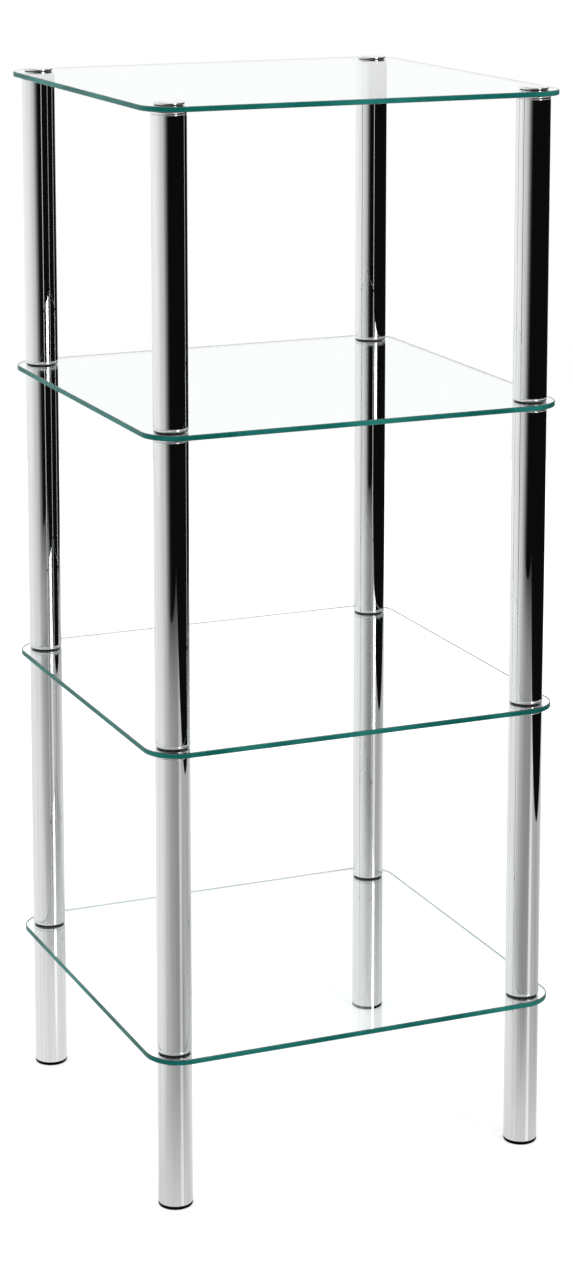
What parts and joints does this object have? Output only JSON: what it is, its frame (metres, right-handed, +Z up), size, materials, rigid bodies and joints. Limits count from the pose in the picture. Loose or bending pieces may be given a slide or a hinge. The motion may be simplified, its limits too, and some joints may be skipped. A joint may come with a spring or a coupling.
{
  "type": "glass shelving unit",
  "caption": "Free-standing square shelving unit: clear glass shelves with rounded corners on chromed corner posts of stacked tubes, with flat round caps on top and black feet.",
  "frame": {"origin": "on the floor, under the middle of the shelves", "axes": "+Z up, +X to the right along the front, +Y to the back; the picture looks from the front left"},
  "size_m": [0.41, 0.41, 1.0247],
  "materials": {
    "clear_glass": "polished clear float glass, green at its edges",
    "chrome_tube": "mirror chrome plate",
    "chrome_fitting": "mirror chrome plate",
    "zinc_plated_steel": "zinc plated thread",
    "black_rubber": "smooth black",
    "black_plastic": "fine satin moulding"
  },
  "bodies": {
    "root": {"cap_back_left": "chrome_fitting", "cap_back_right": "chrome_fitting", "cap_front_left": "chrome_fitting", "cap_front_right": "chrome_fitting", "foot_back_left": "black_plastic", "foot_back_right": "black_plastic", "foot_front_left": "black_plastic", "foot_front_right": "black_plastic", "glass_shelf_bottom": "clear_glass", "glass_shelf_lower": "clear_glass", "glass_shelf_top": "clear_glass", "glass_shelf_upper": "clear_glass", "inserts_leg_top_end": "chrome_fitting", "inserts_upright_lower_bottom_end": "chrome_fitting", "inserts_upright_lower_top_end": "chrome_fitting", "inserts_upright_middle_bottom_end": "chrome_fitting", "inserts_upright_middle_top_end": "chrome_fitting", "inserts_upright_upper_bottom_end": "chrome_fitting", "inserts_upright_upper_top_end": "chrome_fitting", "leg_back_left": "chrome_tube", "leg_back_right": "chrome_tube", "leg_front_left": "chrome_tube", "leg_front_right": "chrome_tube", "studs_through_shelf_bottom": "zinc_plated_steel", "studs_through_shelf_lower": "zinc_plated_steel", "studs_through_shelf_upper": "zinc_plated_steel", "upright_lower_back_left": "chrome_tube", "upright_lower_back_right": "chrome_tube", "upright_lower_front_left": "chrome_tube", "upright_lower_front_right": "chrome_tube", "upright_middle_back_left": "chrome_tube", "upright_middle_back_right": "chrome_tube", "upright_middle_front_left": "chrome_tube", "upright_middle_front_right": "chrome_tube", "upright_upper_back_left": "chrome_tube", "upright_upper_back_right": "chrome_tube", "upright_upper_front_left": "chrome_tube", "upright_upper_front_right": "chrome_tube", "washers_above_shelf_bottom": "black_rubber", "washers_above_shelf_lower": "black_rubber", "washers_above_shelf_upper": "black_rubber", "washers_below_shelf_bottom": "black_rubber", "washers_below_shelf_lower": "black_rubber", "washers_below_shelf_top": "black_rubber", "washers_below_shelf_upper": "black_rubber", "washers_under_caps": "black_rubber"}
  },
  "joints": []
}
